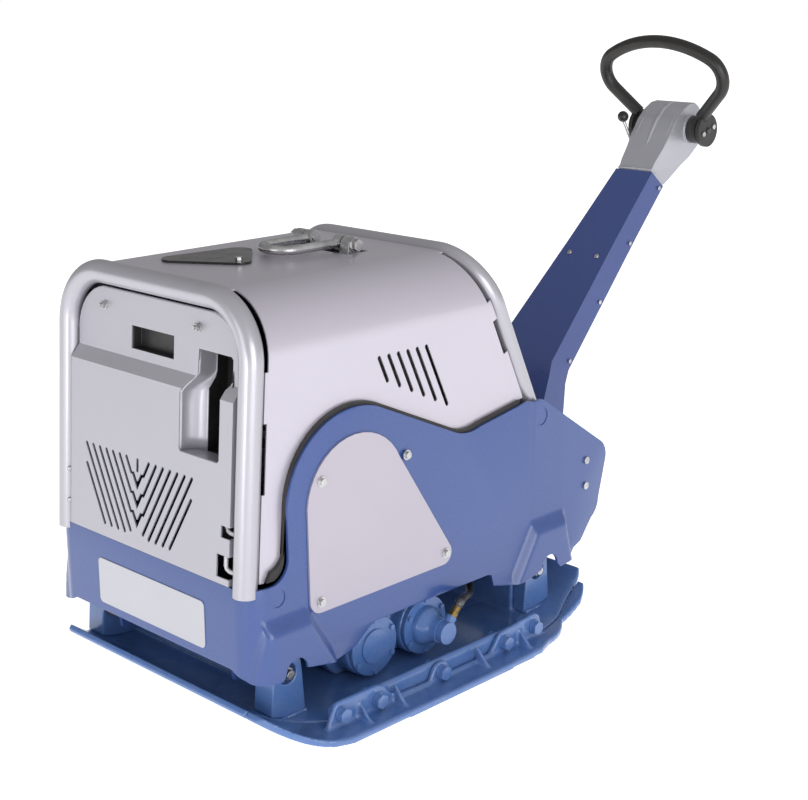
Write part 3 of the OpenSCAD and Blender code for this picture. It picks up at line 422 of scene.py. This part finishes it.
# node, the grain of its sand mould, and how far its edges flow
CASTINGS = [("base_plate", 0.0042, 5), ("extension_plate", 0.003, 6), ("exciter_housing", 0.004, 6)]
KEPT = [("front_tube", TUBE_SILVER), ("rear_tube", TUBE_SILVER), ("lifting_bail", ZINC),
        ("grip_loop", GRIP_RUBBER)]

for item in FINISH:
    refine(*item)
shells = {item[0]: casting(*item) for item in CASTINGS}
# drain holes in the upright wall behind the front lip
for x in (-190, -96, 30, 155):
    carve(shells["base_plate"], [(x, -320, 34), (x, -290, 34)], 5.0)
for node, mat in KEPT:
    dress(node, mat)


# ---------- the frame's outer sheet, in millimetres ----------

# Outside of a side plate and of the front, outer radius of the corners between them, and the sheet
FRAME_HALF = 295.0
FRONT_Y = -445.0
CORNER = 45.0
SHEET = 6.0
# Place of the buffers under the side plates
BUFFER_Y = 352.0
# Along the unrolled sheet: end of the flat front, length of the corner, start of the side
FLAT = FRAME_HALF - CORNER
BEND = CORNER * math.pi / 2
SIDE_START = FLAT + BEND
# Pressed pockets over the buffers: how far they stand out, and their lowest and highest place
POCKET_RISE = 20.0
POCKET_LOW = 124.0
POCKET_TOP = 222.0


def turn(c, r, a0, a1, n):
    """Points along an arc, from angle a0 to a1 in degrees."""
    return [(c[0] + r * math.cos(math.radians(a0 + (a1 - a0) * i / n)),
             c[1] + r * math.sin(math.radians(a0 + (a1 - a0) * i / n))) for i in range(n + 1)]


def run_of(y):
    """Length along the unrolled sheet of a place on the side."""
    return SIDE_START + (y - (FRONT_Y + CORNER))


def fold(s, depth):
    """Rolls the unrolled sheet round the front corner; depth is measured inward from its outer face."""
    if s <= FLAT:
        return s, FRONT_Y + depth
    if s < SIDE_START:
        a = (s - FLAT) / CORNER
        r = CORNER - depth
        return FLAT + r * math.sin(a), FRONT_Y + CORNER - r * math.cos(a)
    return FRAME_HALF - depth, FRONT_Y + CORNER + (s - SIDE_START)


def soft_step(t):
    """Rises from 0 to nearly 1 as t does, with a soft foot and a soft shoulder."""
    e = 0.16
    return max(0.0, (math.sqrt(t * t + e * e) - math.sqrt((t - 1) ** 2 + e * e) + 1) / 2 - 0.012)


def pocket_rise(y, z):
    """How far the pressed pocket over a buffer stands out of the sheet; it narrows upward."""
    up = (z - POCKET_LOW) / (POCKET_TOP - POCKET_LOW)
    inner = -98.0 + 61.0 * up
    outer = 92.0 - 26.0 * up
    best = 0.0
    for end in (-1, 1):
        v = end * y - BUFFER_Y
        flanks = ((v - inner) / 19.0, (outer - v) / 15.0, (POCKET_TOP - z) / 25.0)
        best = max(best, POCKET_RISE * soft_step(min(flanks)))
    return best


def side_sheet_outline():
    """Half of the unrolled sheet, from the middle of the front to the tail: (run, height) points."""
    top = [(-404, 283)] + turn((-396, 325), 42, -80, 0, 10) + turn((-188, 403), 167, 176, 70, 30)
    top += turn((121, 560), 104, 245, 288, 10) + turn((296, 444), 39, 105, 60, 6)
    top += turn((326, 438), 44, 75, 55, 4)
    tail = turn((522, 311), 42, 55, -8, 10) + turn((496, 218), 46, 0, -60, 6) + [(484, 134), (460, 124)]
    foot = [(452, 112), (424, 108), (392, 105)] + turn((356, 116), 26, 0, 180, 14)
    foot += [(318, 112), (280, 104), (250, 102), (226, 104), (200, 112)]
    foot += turn((176, 108), 33, 60, 90, 4) + turn((-134, 108), 33, 90, 130, 6)
    foot += [(-190, 108), (-206, 101), (-230, 100), (-260, 102), (-322, 114)]
    foot += turn((-356, 116), 26, 0, 180, 14) + [(-390, 106), (-400, 107)]
    front_top = [(0.0, 281.0), (FLAT, 281.0)]
    front_foot = [(FLAT + 30, 109.0), (FLAT + 2, 118.0), (FLAT - 12, 125.0), (0.0, 125.0)]
    return front_top + [(run_of(y), z) for y, z in top + tail + foot] + front_foot


def cut_mesh(bm, axis, places):
    """Cuts a flat mesh across at each place along an axis."""
    for p in places:
        co = Vector((p, 0, 0)) if axis == 0 else Vector((0, p, 0))
        no = Vector((1, 0, 0)) if axis == 0 else Vector((0, 1, 0))
        everything = bm.verts[:] + bm.edges[:] + bm.faces[:]
        bmesh.ops.bisect_plane(bm, geom=everything, dist=1e-4, plane_co=co, plane_no=no)


def flat_sheet():
    """Unrolled half sheet, cut fine enough to bend at its corner and to take the pockets."""
    bm = bmesh.new()
    bm.faces.new([bm.verts.new((s, z, 0.0)) for s, z in side_sheet_outline()])
    bmesh.ops.remove_doubles(bm, verts=bm.verts, dist=0.01)
    corner_cuts, pocket_step = 16, 5
    cut_mesh(bm, 0, [FLAT + BEND * i / corner_cuts for i in range(corner_cuts + 1)])
    for end in (-1, 1):
        lo, hi = sorted((end * (BUFFER_Y - 102), end * (BUFFER_Y + 96)))
        n = int((hi - lo) / pocket_step)
        places = [lo + (hi - lo) * i / n for i in range(n + 1)]
        cut_mesh(bm, 0, [run_of(y) for y in places if y > FRONT_Y + CORNER])
    cut_mesh(bm, 1, [100 + pocket_step * i for i in range(27)])
    bmesh.ops.triangulate(bm, faces=[f for f in bm.faces if len(f.verts) > 8])
    bm.verts.index_update()
    return bm


def rolled_sheet():
    """Mesh of the whole sheet, rolled round both front corners, with its thickness and pockets."""
    bm = flat_sheet()
    rim = [e for e in bm.edges if len(e.link_faces) == 1 and max(v.co.x for v in e.verts) > 0.01]
    rims = [tuple(v.index for v in e.verts) for e in rim]
    faces = [[v.index for v in f.verts] for f in bm.faces]
    points = []
    for v in bm.verts:
        s, z = v.co.x, v.co.y
        fade = min(1.0, max(0.0, (s - FLAT) / BEND))
        rise = pocket_rise(FRONT_Y + CORNER + (s - SIDE_START), z) * fade
        points.append((s, z, rise))
    bm.free()
    out = bmesh.new()
    for sign in (1, -1):
        outer = []
        inner = []
        for s, z, rise in points:
            for skin, depth in ((outer, -rise), (inner, SHEET - rise)):
                x, y = fold(s, depth)
                skin.append(out.verts.new((sign * x * MM, y * MM, z * MM)))
        for f in faces:
            out.faces.new([outer[i] for i in f])
            out.faces.new([inner[i] for i in reversed(f)])
        for i, j in rims:
            out.faces.new([outer[i], outer[j], inner[j], inner[i]])
    bmesh.ops.remove_doubles(out, verts=out.verts, dist=1e-5)
    bmesh.ops.recalc_face_normals(out, faces=out.faces)
    mesh = bpy.data.meshes.new("frame_sheet")
    out.to_mesh(mesh)
    out.free()
    return mesh


def frame_sheet():
    """Both side plates and the front as the one folded sheet that they are, with its round stampings."""
    mesh = rolled_sheet()
    mesh.materials.append(BLUE)
    o = new_object("frame_sheet", mesh)
    m = o.modifiers.new("edges", "BEVEL")
    m.width = 0.0018
    m.segments = 3
    m.limit_method = "ANGLE"
    m.angle_limit = math.radians(60.0)
    freeze(o)
    stampings = ((341, 443, 19), (-381, 258, 17))
    for sign in (1, -1):
        for y, z, r in stampings:
            carve(o, [(sign * (FRAME_HALF - 1.6), y, z), (sign * (FRAME_HALF + 3), y, z)], r)
    smooth(o, 50.0)
    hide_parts("frame_side_right", "frame_side_left", "frame_front")
    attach(o, "frame")


frame_sheet()


# ---------- control recess ----------

def in_plane(foot, lean, x, y, z):
    """Point of a leaning plane that stands on foot = (y, z): y is square to the plane and z along it."""
    c, s = math.cos(math.radians(lean)), math.sin(math.radians(lean))
    return Vector((x, foot[0] + y * c - z * s, foot[1] + y * s + z * c)) * MM


def leaned(x, y, z):
    """Point in the front tube's plane, which leans back."""
    return in_plane((-432.0, 274.0), -4.0, x, y, z)


def control_recess():
    """Silver scoop that leads a hand in, and the dark way through to the starting controls."""
    low, shoulder, brow, high = 224, 332, 370, 413
    inner, deep, back, far = 126.0, 38.0, 66.0, 219.0
    bm = bmesh.new()

    def vert(x, y, z):
        return bm.verts.new(leaned(x, y, z))

    def front_at(w):
        return -14.0 + 18.0 * min(1.0, max(0.0, (w - 339) / 24.0))

    rows = []
    for w in (low, 250, 280, 310, shoulder, 345, 358, brow, 392, high):
        left = 93.0 + 28.0 * min(1.0, max(0.0, (w - shoulder) / (brow - shoulder)))
        turns = [math.pi / 2 * i / 12 for i in range(13)]
        rows.append([vert(left + (inner - left) * (1 - math.cos(t)), front_at(w) + deep * math.sin(t), w)
                     for t in turns])
    for a, b in zip(rows, rows[1:]):
        for j in range(12):
            bm.faces.new([a[j], a[j + 1], b[j + 1], b[j]])
    scoop_faces = len(bm.faces)
    bm.faces.new(rows[0] + [vert(205, front_at(low) + deep, low), vert(205, front_at(low), low)])
    bm.faces.new(rows[-1] + [vert(217, front_at(high) + deep, high), vert(217, front_at(high), high)])
    silver_faces = len(bm.faces)
    for corners in (
            [(inner, 24, low - 2), (inner, back, low - 2), (inner, back, high), (inner, 42, high),
             (inner, 42, 363), (inner, 24, 339)],
            [(inner, back, low - 2), (far, back, low - 2), (far, back, high), (inner, back, high)],
            [(far, -12, low - 2), (far, back, low - 2), (far, back, high), (far, 4, high)],
            [(inner, 24, low), (far, 24, low), (far, back, low), (inner, back, low)],
            [(205, -12, low), (far, -12, low), (far, 24, low), (205, 24, low)],
            [(inner, 42, high), (far, 42, high), (far, back, high), (inner, back, high)]):
        bm.faces.new([vert(*c) for c in corners])
    bm.faces.ensure_lookup_table()
    for i, f in enumerate(bm.faces):
        f.material_index = 1 if i >= silver_faces else 0
        f.smooth = i < scoop_faces
    mesh = bpy.data.meshes.new("control_recess")
    bm.to_mesh(mesh)
    bm.free()
    mesh.materials.append(PANEL_SILVER)
    mesh.materials.append(PLASTIC)
    o = new_object("control_recess", mesh)
    m = o.modifiers.new("wall", "SOLIDIFY")
    m.thickness = 0.002
    m.offset = 0.0
    freeze(o)
    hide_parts("control_pocket")
    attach(o, "frame")


control_recess()


# ---------- throttle lever ----------

def throttle():
    """Chromed rod with its black ball, kept as two finishes on one piece."""
    ball, ball_radius = Vector((-0.078, 1.088, 0.976)), 0.0142
    o = refine("throttle_lever", ZINC, 0.0006, 2)
    o.data.materials.append(GLOSS_BLACK)
    for p in o.data.polygons:
        if (p.center - ball).length < ball_radius:
            p.material_index = 1


throttle()


# ---------- welds, trims and hooks ----------

def seams():
    """Weld beads along the feet of the lugs and of the upright walls."""
    for sign, side in ((1, "right"), (-1, "left")):
        for y, end in ((-352, "front"), (352, "rear")):
            weld("lug_weld_%s_%s" % (end, side), [(sign * 285, y - 40, 16), (sign * 285, y + 40, 16)],
                 CAST_BLUE, "base", 4.0)
    weld("lip_weld_front", [(-240, -310, 15), (240, -310, 15)], CAST_BLUE, "base", 3.6)
    weld("lip_weld_rear", [(-240, 310, 15), (240, 310, 15)], CAST_BLUE, "base", 3.6)


seams()


def stud(name, foot, direction, radius, height, mat, body):
    """A domed screw head that stands on a surface."""
    foot, direction = Vector(foot), Vector(direction).normalized()
    steps = [(-1.0, 1.0), (0.55 * height, 1.0), (0.85 * height, 0.86), (height, 0.55)]
    path = [foot + direction * rise for rise, _ in steps]
    return piece(name, round_bar(path, [radius * r for _, r in steps], 20), mat, body, 50.0)


def small_screws():
    """Screws on the left front tube, on the tow bar's front face and in the middle of the grip's discs."""
    tube_x, tube_radius, outward = -266, 22, (0.81, -0.59, 0.0)
    bar_face = (0.0, -0.691, 0.723)
    hub_y, hub_z, disc_out = 1186, 948, 104
    for i, z in enumerate((326, 389)):
        axis_y = -432.0 + (z - 274) * math.tan(math.radians(4.0))
        foot = (tube_x + tube_radius * outward[0], axis_y + tube_radius * outward[1], z)
        stud("tube_screw_%d" % i, foot, outward, 5.5, 3.6, ZINC, "frame")
    for side, sign in (("right", 1), ("left", -1)):
        stud("bar_face_screw_" + side, (sign * 40, 845, 676.5), bar_face, 6.0, 3.4, ZINC, "tow_bar")
        disc = (sign * disc_out, hub_y, hub_z)
        stud("disc_screw_" + side, disc, (sign, 0.0, 0.0), 7.0, 4.5, DARK_STEEL, "grip")


small_screws()


def hinge_hooks():
    """Bent hooks in the notches at the foot of the front panel, which the panel hangs in."""
    for name, low, high in (("low", 28, 54), ("high", 99, 111)):
        bends = ((236, low), (222, low), (214, low + 3), (211, low + 8), (211, high))
        path = [leaned(x, 2, z) / MM for x, z in bends]
        piece("hinge_hook_" + name, round_bar(path, 4.2, 12), WHITE, "frame")


hinge_hooks()


def head_ribs():
    """Ribs cast on the cap of the tow bar, and the lip at its foot."""
    crown = [(1076, 906), (1098, 940), (1120, 970), (1145, 992), (1172, 1006), (1192, 1009)]
    for name, x, inset in (("middle", 0, 0), ("right", 43, 3), ("left", -43, 3)):
        path = [(x, y + 0.6 * inset, z - inset) for y, z in crown]
        rib = round_bar(path, [2.5, 5.0, 5.5, 5.5, 5.0, 2.5], 16)
        piece("head_rib_" + name, rib, HEAD_SILVER, "tow_bar", 60.0)
    foot = [(-47, 1039, 861), (47, 1039, 861), (47.5, 1082, 823), (-47.5, 1082, 823), (-47, 1039, 861)]
    piece("head_lip", round_bar(foot, 4.0, 12), HEAD_SILVER, "tow_bar", 60.0)


head_ribs()


# ---------- lining behind the louvres ----------

def behind_rear(x, y, z):
    """Point in the rear tube's plane, which leans forward over the engine."""
    return in_plane((330.0, 469.0), 25.4, x, y, z)


def foam(name, place, across, up, step=8.0, depth=3.5, thick=10.0):
    """Sheet of sound-absorbing foam with an egg-crate face; place(u, v, w) puts its points in the machine."""
    nu, nv = int((across[1] - across[0]) / step), int((up[1] - up[0]) / step)
    bm = bmesh.new()
    grid = []
    for i in range(nu + 1):
        row = []
        for j in range(nv + 1):
            u = across[0] + (across[1] - across[0]) * i / nu
            v = up[0] + (up[1] - up[0]) * j / nv
            rim = min(i, nu - i, j, nv - j) > 0
            w = depth * math.sin(u * math.pi / 16) * math.sin(v * math.pi / 16) if rim else -depth
            row.append(bm.verts.new(place(u, v, w)))
        grid.append(row)
    for a, b in zip(grid, grid[1:]):
        for j in range(nv):
            bm.faces.new([a[j], b[j], b[j + 1], a[j + 1]])
    mesh = bpy.data.meshes.new(name)
    bm.to_mesh(mesh)
    bm.free()
    mesh.materials.append(RUBBER)
    o = new_object(name, mesh)
    m = o.modifiers.new("sheet", "SOLIDIFY")
    m.thickness = thick * MM
    m.offset = 0.0
    freeze(o)
    smooth(o, 60.0)
    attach(o, "frame")


def linings():
    """Foam inside the hood, behind the side louvres and behind the rear panel."""
    for side, sign in (("right", 1), ("left", -1)):
        def beside(u, v, w, k=sign):
            return Vector((k * (258 + w), u, v)) * MM
        foam("lining_" + side, beside, (-150, 115), (505, 680))
    foam("lining_rear", lambda u, v, w: behind_rear(u, -38 - w, v), (-180, 180), (50, 290))


linings()


# ---------- buffers, hose and belt between the plate and the frame ----------

def flexing(o, node):
    """A rubber piece that runs from the plate to the frame: its CAD node is hidden and its place is baked
    into its mesh.
    """
    if node:
        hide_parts(node)
    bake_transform(o)


def loose_piece(name, mesh, mat, degrees=40.0):
    mesh.materials.clear()
    mesh.materials.append(mat)
    o = new_object(name, mesh)
    smooth(o, degrees)
    return o


def buffers():
    """Waisted rubber between two bonded steel discs."""
    length = 48.0
    steps = [(0.0, 34.0), (0.8, 38.6), (4.0, 39.4), (8.0, 38.0), (14.0, 35.6), (24.0, 34.4)]
    steps += [(length - t, r) for t, r in reversed(steps[:-1])]
    for side, sign in (("right", 1), ("left", -1)):
        for end, y in (("front", -BUFFER_Y), ("rear", BUFFER_Y)):
            path = [(sign * (182 + t), y, 100) for t, _ in steps]
            o = loose_piece("buffer_%s_%s" % (end, side), round_bar(path, [r for _, r in steps], 48), RUBBER)
            flexing(o, "rubber_buffers")


# Points that the hose runs through, from the cylinder's union up into the frame, in millimetres
HOSE_ROUTE = [
    (331, 50.5, 122.5), (331, 58, 130), (326, 78, 133), (312, 102, 126), (298, 122, 122), (282, 140, 124),
    (268, 152, 138), (260, 160, 160), (256, 165, 190), (255, 167, 230), (254, 165, 268)]


def curve_through(points, steps=6):
    """Smooth curve through the points."""
    pts = [Vector(p) for p in points]
    pts = [2 * pts[0] - pts[1]] + pts + [2 * pts[-1] - pts[-2]]
    out = []
    for a, b, c, d in zip(pts, pts[1:], pts[2:], pts[3:]):
        for i in range(steps):
            t = i / steps
            out.append(0.5 * (2 * b + (c - a) * t + (2 * a - 5 * b + 4 * c - d) * t * t
                              + (3 * b - a - 3 * c + d) * t ** 3))
    out.append(pts[-2])
    return out


def hose():
    """Pressure hose with the crimped sleeve at its lower end."""
    route = curve_through(HOSE_ROUTE)
    o = loose_piece("hose", round_bar(route, 8.0, 20), HOSE_RUBBER)
    flexing(o, "hydraulic_hose")
    radii = [9.6, 10.2, 9.2, 10.2, 9.2, 10.2, 10.2, 8.8]
    piece("hose_sleeve", round_bar(route[:8], radii, 24), DARK_STEEL, "base", 50.0)


def belt():
    """Drive belt from the clutch drum down to the exciter's pulley."""
    o = loose_piece("belt", NODES["drive_belt"].data.copy(), RUBBER, 30.0)
    flexing(o, "drive_belt")


buffers()
hose()
belt()


def panel_trim():
    """Edge trim along the top of the front panel."""
    path = []
    for i in range(9):
        a = math.radians(180 - 82 * i / 8)
        path.append(leaned(-152 + 89 * math.cos(a), 5, 394 + 89 * math.sin(a)) / MM)
    for i in range(9):
        a = math.radians(82 - 62 * i / 8)
        path.append(leaned(152 + 89 * math.cos(a), 5, 394 + 89 * math.sin(a)) / MM)
    piece("panel_trim", round_bar(path, 2.6, 10), PANEL_SILVER, "door")


panel_trim()


# ---------- floor, light and camera ----------

def make_stage():
    """Pale floor, lit a little from within so that it meets the background without an edge."""
    mesh = bpy.data.meshes.new("floor")
    bm = bmesh.new()
    bmesh.ops.create_grid(bm, x_segments=1, y_segments=1, size=30.0)
    bm.to_mesh(mesh)
    bm.free()
    floor = new_object("floor", mesh)
    n = Nodes("pale_floor")
    n.set(Base_Color=n.mix(n.noise(1.2, 3.0), tone(250, 250, 250), tone(246, 246, 247)))
    n.shader.inputs["Roughness"].default_value = 0.9
    n.shader.inputs["Emission Color"].default_value = (1.0, 1.0, 1.0, 1.0)
    n.shader.inputs["Emission Strength"].default_value = 0.8
    mesh.materials.append(n.mat)


def area_light(name, place, target, size, power, size_y=None):
    data = bpy.data.lights.new(name, "AREA")
    data.shape = "RECTANGLE"
    data.size = size
    data.size_y = size_y or size
    data.energy = power
    o = bpy.data.objects.new(name, data)
    o.location = place
    o.rotation_euler = (Vector(target) - Vector(place)).to_track_quat("-Z", "Y").to_euler()
    bpy.context.scene.collection.objects.link(o)


def make_light():
    """Soft studio: a graded surround, a large lamp on the right side and weaker ones in front."""
    world = bpy.data.worlds.new("studio")
    bpy.context.scene.world = world
    world.use_nodes = True
    tree = world.node_tree
    back = tree.nodes["Background"]
    back.inputs["Strength"].default_value = 0.62
    seen = tree.nodes.new("ShaderNodeBackground")
    seen.inputs["Color"].default_value = (1.0, 1.0, 1.0, 1.0)
    path = tree.nodes.new("ShaderNodeLightPath")
    blend = tree.nodes.new("ShaderNodeMixShader")
    # the studio is brighter towards the side of the machine than behind and above it
    where = tree.nodes.new("ShaderNodeTexCoord")
    split = tree.nodes.new("ShaderNodeSeparateXYZ")
    tree.links.new(where.outputs["Generated"], split.inputs[0])
    ramp = tree.nodes.new("ShaderNodeMapRange")
    ramp.inputs["From Min"].default_value = -1.0
    ramp.inputs["From Max"].default_value = 1.0
    ramp.inputs["To Min"].default_value = 0.45
    ramp.inputs["To Max"].default_value = 1.25
    tree.links.new(split.outputs["X"], ramp.inputs["Value"])
    tree.links.new(ramp.outputs["Result"], back.inputs["Color"])
    tree.links.new(path.outputs["Is Camera Ray"], blend.inputs[0])
    tree.links.new(back.outputs[0], blend.inputs[1])
    tree.links.new(seen.outputs[0], blend.inputs[2])
    tree.links.new(blend.outputs[0], tree.nodes["World Output"].inputs[0])
    area_light("key", (4.6, -1.6, 1.3), (0.0, 0.0, 0.5), 2.8, 84.0)
    area_light("front_fill", (-0.4, -4.4, 1.2), (0.0, -0.3, 0.4), 2.4, 25.0)
    area_light("low_front", (0.7, -3.2, 0.35), (0.0, -0.3, 0.06), 0.5, 9.0)


def make_camera():
    """Camera that looks down on the front right corner."""
    azimuth, pitch = math.radians(44.24), math.radians(15.54)
    data = bpy.data.cameras.new("camera")
    data.sensor_width = 36.0
    data.lens = 69.83
    o = bpy.data.objects.new("camera", data)
    o.location = (2.2443, -2.0647, 1.3350)
    o.rotation_euler = (math.pi / 2 - pitch, 0.0, azimuth)
    bpy.context.scene.collection.objects.link(o)
    bpy.context.scene.camera = o
    bpy.context.scene.view_settings.view_transform = "Standard"


make_stage()
make_light()
make_camera()
